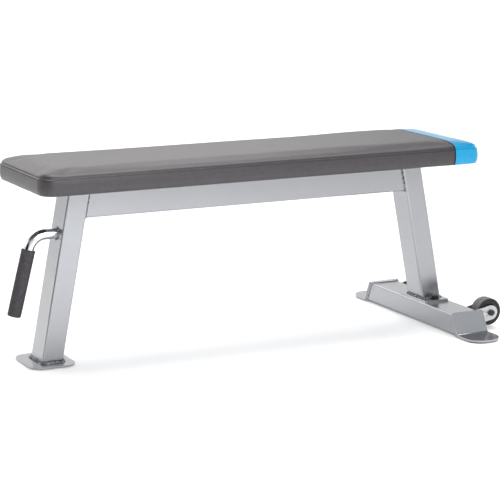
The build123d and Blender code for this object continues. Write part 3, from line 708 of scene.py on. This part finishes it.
def seam_cord():
    """The dark welt sunk in the joint between the black cover and the blue end panel."""
    cord_half_width, cord_half_height, cord_lift = 1.9 * MM, 1.0 * MM, 0.5 * MM
    bm = bmesh.new()
    centre = Vector((SEAM_X, 0, (PAD_BOTTOM + PAD_TOP) / 2))
    rings = []
    for angle in turns(260):
        stretched = Vector((0, math.cos(angle) * PAD_HALF * 1.3, math.sin(angle) * 0.05))
        target = centre + stretched
        way = (centre + Vector((0, stretched.y * 0.72, 0)) - target).normalized()
        hit, normal, _, _ = surface.ray_cast(target, way, 0.5)
        if hit is not None:
            rings.append((hit, normal))
    loops = []
    for index, (hit, normal) in enumerate(rings):
        ahead = rings[(index + 1) % len(rings)][0] - rings[index - 1][0]
        ahead = ahead.normalized() if ahead.length > 1e-9 else Vector((0, 1, 0))
        up = normal - ahead * normal.dot(ahead)
        up = Vector((0, up.y, up.z)).normalized()
        across = ahead.cross(up).normalized()
        loop = []
        for angle in turns(8):
            lift = up * (math.sin(angle) * cord_half_height + cord_lift)
            loop.append(bm.verts.new(hit + across * math.cos(angle) * cord_half_width + lift))
        loops.append(loop)
    skin(bm, loops, ring=True)
    return bm


piece("pad_end_seam", seam_cord(), "vinyl_seam")


def board():
    """The board inside the cover. Its lower edges are set in, where the vinyl is pulled round them."""
    low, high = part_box("seat_board")
    bm = bmesh.new()
    loops = []
    for inset, z in ((10, low.z), (9, low.z + 1 * MM), (9, high.z - 1 * MM), (10, high.z)):
        loops.append([bm.verts.new((p.x, p.y, z)) for p, _ in pad_outline(inset * MM)])
    skin(bm, loops)
    return bm


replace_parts(piece("seat_board_panel", board(), "plywood", smooth=False), "seat_board")


def underside():
    """The dust cloth under the board, hanging a little between its staples."""
    bm = bmesh.new()
    reach_x = (PAD_X1 - PAD_X0) / 2 - HEM_WIDTH + 1 * MM
    reach_y = PAD_HALF - HEM_WIDTH + 1 * MM
    middle_x = (PAD_X0 + PAD_X1) / 2
    columns, rows = 200, 48
    rise = 0.15 * MM  # of the stretched cloth above the cover's underside
    sheets = []
    for thickness in (0.0, 1.0 * MM):
        grid = []
        for i in range(columns + 1):
            line = []
            for j in range(rows + 1):
                u, v = 2 * i / columns - 1, 2 * j / rows - 1
                x, y = middle_x + u * reach_x, v * reach_y
                free = min(1.0, (1 - abs(u)) * 12, (1 - abs(v)) * 4)
                ripple = 0.45 + 0.55 * noise.noise(Vector((x * 9, y * 22, 5.0)))
                sag = free * ripple * 0.9 * MM
                over_plate = any(low.x - 4 * MM < x < high.x + 4 * MM for low, high in pad_plates)
                sag = 0.0 if over_plate else max(0.0, sag)
                line.append(bm.verts.new((x, y, PAD_BOTTOM + rise - sag + thickness)))
            grid.append(line)
        sheets.append(grid)
    for grid in sheets:
        for i in range(columns):
            for j in range(rows):
                bm.faces.new((grid[i][j], grid[i + 1][j], grid[i + 1][j + 1], grid[i][j + 1]))
    bottom, top = sheets
    rim = [(i, 0) for i in range(columns)] + [(columns, j) for j in range(rows)]
    rim += [(i, rows) for i in range(columns, 0, -1)] + [(0, j) for j in range(rows, 0, -1)]
    for (i, j), (k, m) in zip(rim, rim[1:] + rim[:1]):
        bm.faces.new((bottom[i][j], bottom[k][m], top[k][m], top[i][j]))
    return bm


pad_plates = [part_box("pad_plate_front"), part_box("pad_plate_rear")]
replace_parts(piece("pad_underside", underside(), "dust_cloth"), "underside_cloth")


def staples():
    """Staples that hold the turned-in hem and the dust cloth to the board."""
    bm = bmesh.new()
    outline = [p - out * (HEM_WIDTH - 5 * MM) for p, out in pad_outline(0, 36 * MM)]
    for here, there in zip(outline, outline[1:] + outline[:1]):
        run = there - here
        if run.length < 20 * MM:
            continue
        place = (here + there) / 2
        along = Vector((run.x, run.y, 0)).normalized()
        tilted = Vector((random.uniform(-0.01, 0.01), 0, 1))
        along.rotate(Vector((0, 0, 1)).rotation_difference(tilted))
        at = Vector((place.x, place.y, PAD_BOTTOM - 0.3 * MM))
        capsule(bm, at, along, Vector((0, 0, -1)), 10 * MM, 0.55 * MM)
    return bm


piece("pad_staples", staples(), "zinc")


# ---------------------------------------------------------------- weld beads
def ring_outline(half_u, half_v, corner, step=0.8 * MM):
    """Points round a rounded rectangle about the origin, as (place, outward way), from +u."""
    points = []
    corners = ((1, 1, 0), (-1, 1, 90), (-1, -1, 180), (1, -1, 270))
    arcs = []
    for side_u, side_v, start in corners:
        centre = Vector((side_u * (half_u - corner), side_v * (half_v - corner)))
        arc = []
        for i in range(7):
            angle = math.radians(start + 15 * i)
            out = Vector((math.cos(angle), math.sin(angle)))
            arc.append((centre + out * corner, out))
        arcs.append(arc)
    for arc, after in zip(arcs, arcs[1:] + arcs[:1]):
        points += arc
        gap = after[0][0] - arc[-1][0]
        count = max(1, round(gap.length / step))
        points += [(arc[-1][0] + gap * i / count, arc[-1][1]) for i in range(1, count)]
    return points


def bead(bm, path, radius, closed, pitch=3.3 * MM):
    """A rippled run of weld. path is (corner, way along one wall, way along the other)."""
    sink = 0.35 * MM  # into both walls, so that no gap shows
    loops = []
    travelled = 0.0
    for index, (corner, a, b) in enumerate(path):
        if index:
            travelled += (corner - path[index - 1][0]).length
        scallop = abs(math.sin(math.pi * travelled / pitch))
        rough = noise.noise(corner * 210)
        reach = radius * (0.98 + 0.26 * scallop + 0.18 * rough)
        loop = [bm.verts.new(corner - (a + b) * sink), bm.verts.new(corner + a * reach - b * sink)]
        for k in range(1, 6):
            angle = math.pi / 2 * k / 6
            full = reach * (0.88 - 0.06 * math.sin(2 * angle))
            loop.append(bm.verts.new(corner + (a * math.cos(angle) + b * math.sin(angle)) * full))
        loop.append(bm.verts.new(corner + b * reach - a * sink))
        loops.append(loop)
    skin(bm, loops, ring=closed)


def leg_foot_bead(node, toward, weight):
    """Round a leg's foot. toward is the side, along X, that the leg leans to as it rises.

    weight is the bead's size against the usual one.
    """
    low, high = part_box(node)
    middle = (low + high) / 2
    outline = ring_outline((high.x - low.x) / 2 - BEAD, (high.y - low.y) / 2 - BEAD, TUBE_CORNER)
    up = Vector((toward * math.sin(LEAN), 0, math.cos(LEAN)))
    bm = bmesh.new()
    path = [
        (Vector((middle.x + p.x, p.y, low.z)), Vector((out.x, out.y, 0)), up) for p, out in outline
    ]
    bead(bm, path, BEAD * weight, True)
    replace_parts(piece(node + "_bead", bm, "weld_metal"), node)


leg_foot_bead("weld_front_foot", 1, 1.35)
leg_foot_bead("weld_rear_flange", -1, 1.0)


def three_sides(half_u, half_v, corner):
    """The part of a rounded rectangle's outline that leaves out its -v side."""
    outline = ring_outline(half_u, half_v, corner)
    start = next(i for i, (p, _) in enumerate(outline) if p.y < 0 and p.x > half_u - 1e-6)
    outline = outline[start:] + outline[:start]
    return [(p, out) for p, out in outline if out.y > -0.5]


def beam_end_beads():
    """Where the beam meets the two legs, on its sides and its underside."""
    low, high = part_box("top_beam")
    height = (high.z - low.z) / math.cos(LEAN)
    bm = bmesh.new()
    for side, foot_x in ((-1, low.x), (1, high.x)):
        up = Vector((-side * math.sin(LEAN), 0, math.cos(LEAN)))
        middle = Vector((foot_x, 0, low.z)) + up * height / 2
        path = []
        for p, out in three_sides(high.y, height / 2, TUBE_CORNER):
            across = Vector((0, 1, 0))
            corner = middle + across * p.x - up * p.y
            path.append((corner, across * out.x - up * out.y, Vector((-side, 0, 0))))
        bead(bm, path, SMALL_BEAD, False)
    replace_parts(piece("weld_beam_ends_bead", bm, "weld_metal"), "weld_beam_ends")


def end_foot_beads():
    """Where the cross tube meets the end feet, under the same paint as the tube."""
    low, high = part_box("cross_tube")
    height = (high.z - low.z) / math.cos(SLANT)
    middle_x = (low.x + high.x) / 2
    bm = bmesh.new()
    for side in (-1, 1):
        up = Vector((0, -side * math.sin(SLANT), math.cos(SLANT)))
        middle = Vector((middle_x, side * high.y, low.z)) + up * height / 2
        path = []
        for p, out in three_sides((high.x - low.x) / 2, height / 2, TUBE_CORNER):
            corner = middle + Vector((p.x, 0, 0)) + up * p.y
            path.append((corner, Vector((out.x, 0, 0)) + up * out.y, Vector((0, -side, 0))))
        bead(bm, path, SMALL_BEAD, False)
    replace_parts(piece("weld_end_feet_bead", bm, "silver_paint"), "weld_end_feet")


def bracket_beads():
    """Up the outer side of each bracket arm, against the cross tube."""
    low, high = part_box("weld_wheel_brackets")
    bm = bmesh.new()
    for node in ("wheel_bracket_right", "wheel_bracket_left"):
        arm_low, arm_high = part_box(node)
        for y, out in ((arm_low.y, -1), (arm_high.y, 1)):
            steps = 30
            path = []
            for i in range(steps + 1):
                z = low.z + (high.z - low.z) * i / steps
                path.append((Vector((low.x, y, z)), Vector((0, out, 0)), Vector((1, 0, 0))))
            bead(bm, path, SMALL_BEAD, False)
    name = "weld_wheel_brackets"
    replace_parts(piece(name + "_bead", bm, "weld_metal"), name)


def handle_bead():
    """Round the handle tube where it meets the leg."""
    leg_low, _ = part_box("front_leg")
    weld_low, weld_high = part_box("weld_handle")
    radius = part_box("handle_tube")[1].y
    z = (weld_low.z + weld_high.z) / 2
    centre = Vector((leg_low.x + (z - leg_low.z) * math.tan(LEAN), 0, z))
    up = Vector((math.sin(LEAN), 0, math.cos(LEAN)))
    bm = bmesh.new()
    path = []
    for angle in turns(84):
        out = Vector((0, math.cos(angle), 0)) + up * math.sin(angle)
        stretched = Vector((0, math.cos(angle), 0)) + up * math.sin(angle) / math.cos(LEAN)
        path.append((centre + stretched * radius, out, Vector((-1, 0, 0))))
    bead(bm, path, SMALL_BEAD, True)
    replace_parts(piece("weld_handle_bead", bm, "weld_metal"), "weld_handle")


beam_end_beads()
end_foot_beads()
bracket_beads()
handle_bead()


# ---------------------------------------------------------------- turned pieces
def lathe(bm, origin, axis, across, profile, sides=96, ripple=0.0, hollow=False):
    """Turns a profile of (distance along the axis, radius) about an axis."""
    third = axis.cross(across)
    loops = []
    for along, radius in profile:
        loop = []
        for angle in turns(sides):
            way = across * math.cos(angle) + third * math.sin(angle)
            place = origin + axis * along + way * radius
            loop.append(bm.verts.new(place + way * noise.noise(place * 160) * ripple))
        loops.append(loop)
    skin(bm, loops, ring=hollow)


def make_grip():
    """Foam sleeve with a small lip at its mouth and a rounded closed end."""
    low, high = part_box("handle_grip")
    radius = high.y
    axis = Vector((-math.cos(BEND), 0, -math.sin(BEND)))
    start = Vector((high.x - radius * math.sin(BEND), 0, high.z - radius * math.cos(BEND)))
    length = (start.z - low.z) / math.sin(BEND)
    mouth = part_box("handle_tube")[1].y
    profile = [(2.0 * MM, mouth + 0.1 * MM), (0.4 * MM, mouth + 0.3 * MM), (0, mouth + 1.2 * MM)]
    # (along the grip, beyond its radius), in millimetres
    lip = ((0.3, -0.3), (1.4, 0.5), (3.4, 0.6), (5.4, 0.1), (7.0, -0.1))
    profile += [(along * MM, radius + more * MM) for along, more in lip]
    rings = 30
    for i in range(rings + 1):
        profile.append((9 * MM + (length - 14 * MM) * i / rings, radius))
    end = length - 0.6 * MM
    profile += [(end - 2.2 * MM, radius - 0.5 * MM), (end - 0.9 * MM, radius - 1.5 * MM)]
    profile += [(end - 0.2 * MM, radius - 3.2 * MM), (end, radius - 6 * MM), (end, 2 * MM)]
    bm = bmesh.new()
    lathe(bm, start, axis, Vector((0, 1, 0)), profile, ripple=0.12 * MM)
    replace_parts(piece("grip_sleeve", bm, "grip_foam"), "handle_grip")


def make_tyre(node, body):
    """Rubber tyre with rounded shoulders, a moulding line and a step on each side."""
    low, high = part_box(node)
    centre = (low + high) / 2
    half = (high.y - low.y) / 2 / MM
    radius = (high.z - low.z) / 2 / MM
    shoulder = 4.6
    # (inwards of the tyre's side, below its tread), in millimetres
    side = ((2.2, 9.0), (0.5, 8.5), (0.0, 7.4), (0.0, 5.8), (0.5, 5.5), (0.5, 5.1), (0.05, 4.7))
    profile = [(-half + inwards, radius - depth) for inwards, depth in side]
    for i in range(8):
        angle = math.pi / 2 * i / 7
        depth = shoulder * (1 - math.sin(angle))
        profile.append((-half + shoulder * (1 - math.cos(angle)), radius - depth))
    profile += [(-half + 8, radius), (-0.9, radius), (-0.3, radius + 0.3)]
    profile += [(-along, reach) for along, reach in reversed(profile)]
    bm = bmesh.new()
    turned = [(along * MM, reach * MM) for along, reach in profile]
    lathe(bm, centre, Vector((0, 1, 0)), Vector((1, 0, 0)), turned, 128, 0.1 * MM, hollow=True)
    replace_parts(piece(node + "_rubber", bm, "tyre_rubber", body), node)


make_grip()
make_tyre("tyre_right", "wheel_right")
make_tyre("tyre_left", "wheel_left")


# ---------------------------------------------------------------- softened edges on CAD nodes
def soften(node, width):
    """Rounds a plate's or a bolt's sharp edges a little, without touching its mesh."""
    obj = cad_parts[node]
    join = obj.modifiers.new("join", "WELD")
    join.merge_threshold = 1e-5
    edge = obj.modifiers.new("edge", "BEVEL")
    edge.width = width
    edge.segments = 3
    edge.limit_method = "ANGLE"
    edge.angle_limit = math.radians(40)
    edge.harden_normals = True


for node in (
    "front_foot_plate", "rear_flange_plate", "end_foot_right", "end_foot_left",
    "wheel_bracket_right", "wheel_bracket_left", "flange_bolts", "axle_bolts", "axle_nuts",
    "pad_plate_front", "pad_plate_rear", "pad_bolts", "wheel_hub_right", "wheel_hub_left",
):
    soften(node, 0.7 * MM)


# ---------------------------------------------------------------- stage, lights and camera
def make_stage():
    """A plain pale floor."""
    bm = bmesh.new()
    bmesh.ops.create_grid(bm, x_segments=2, y_segments=2, size=30)
    mesh = bpy.data.meshes.new("floor")
    bm.to_mesh(mesh)
    bm.free()
    floor = bpy.data.objects.new("floor", mesh)
    scene.collection.objects.link(floor)
    floor.data.materials.append(MATERIALS["pale_floor"])


def area_light(name, place, target, size, power, color=(1, 1, 1)):
    data = bpy.data.lights.new(name, "AREA")
    data.shape = "RECTANGLE"
    data.size, data.size_y = size
    data.energy = power
    data.color = color
    light = bpy.data.objects.new(name, data)
    light.location = place
    light.rotation_euler = (Vector(target) - Vector(place)).to_track_quat("-Z", "Y").to_euler()
    scene.collection.objects.link(light)


def make_world():
    """Light low down and dim overhead, with a dark strip beyond the handle that shows in corners."""
    world = bpy.data.worlds.new("studio")
    scene.world = world
    world.use_nodes = True
    tree = world.node_tree
    background = tree.nodes["Background"]
    coords = tree.nodes.new("ShaderNodeTexCoord")
    split = tree.nodes.new("ShaderNodeSeparateXYZ")
    band = tree.nodes.new("ShaderNodeValToRGB")
    tree.links.new(coords.outputs["Generated"], split.inputs["Vector"])
    tree.links.new(split.outputs["Z"], band.inputs["Fac"])
    tree.links.new(band.outputs["Color"], background.inputs["Color"])
    stops = [(0.0, 1.0), (0.30, 0.95), (0.50, 0.55), (0.72, 0.12), (1.0, 0.06)]
    ramp = band.color_ramp
    while len(ramp.elements) < len(stops):
        ramp.elements.new(0.5)
    for element, (at, level) in zip(ramp.elements, stops):
        element.position = at
        element.color = (level, level, level * 1.01, 1)
    toward = tree.nodes.new("ShaderNodeVectorMath")
    toward.operation = "DOT_PRODUCT"
    tree.links.new(coords.outputs["Generated"], toward.inputs[0])
    strip_way = (-0.90, -0.43, 0.0)
    toward.inputs[1].default_value = strip_way
    strip = tree.nodes.new("ShaderNodeMapRange")
    strip.interpolation_type = "SMOOTHSTEP"
    for name, value in (("From Min", 0.76), ("From Max", 0.92), ("To Min", 1.0), ("To Max", 0.0)):
        strip.inputs[name].default_value = value
    tree.links.new(toward.outputs["Value"], strip.inputs["Value"])
    tree.links.new(strip.outputs["Result"], background.inputs["Strength"])


def sun_light(power, angle):
    """A very soft light from overhead, so that the floor is even out to the horizon."""
    data = bpy.data.lights.new("overhead", "SUN")
    data.energy = power
    data.angle = math.radians(angle)
    light = bpy.data.objects.new("overhead", data)
    light.rotation_euler = (math.radians(-12), math.radians(8), 0)
    scene.collection.objects.link(light)


def make_camera():
    """Stands at the picture's angle: 26.3 degrees round from straight in front, looking down."""
    data = bpy.data.cameras.new("camera")
    data.lens = 142.3
    data.sensor_width = 36
    camera = bpy.data.objects.new("camera", data)
    camera.location = (-1.9702, -3.9945, 1.0988)
    look_down, turn = math.radians(11.31), math.radians(26.3)
    camera.rotation_euler = (math.pi / 2 - look_down, 0, -turn)
    scene.collection.objects.link(camera)
    scene.camera = camera


make_stage()
make_world()
make_camera()
sun_light(2.5, 45)
# name, place, what it is aimed at, size, watts, colour
area_light("key", (-0.25, -1.9, 1.25), (-0.35, -0.6, 0.0), (0.9, 0.7), 30, (0.95, 0.975, 1.0))
area_light("left", (-2.7, 1.5, 1.6), (-0.3, 0, 0.3), (1.8, 1.4), 8, (1.0, 0.97, 0.93))
area_light("back", (0.6, 3.2, 2.4), (0, 0, 0.4), (3.0, 1.6), 26, (1.0, 0.97, 0.95))
area_light("edge", (-1.3, 3.3, 2.0), (-0.5, 0, 0.4), (1.3, 0.9), 10)
area_light("right", (1.9, -2.4, 1.9), (0.45, -0.2, 0.05), (1.6, 1.4), 3.2, (0.9, 0.96, 1.0))
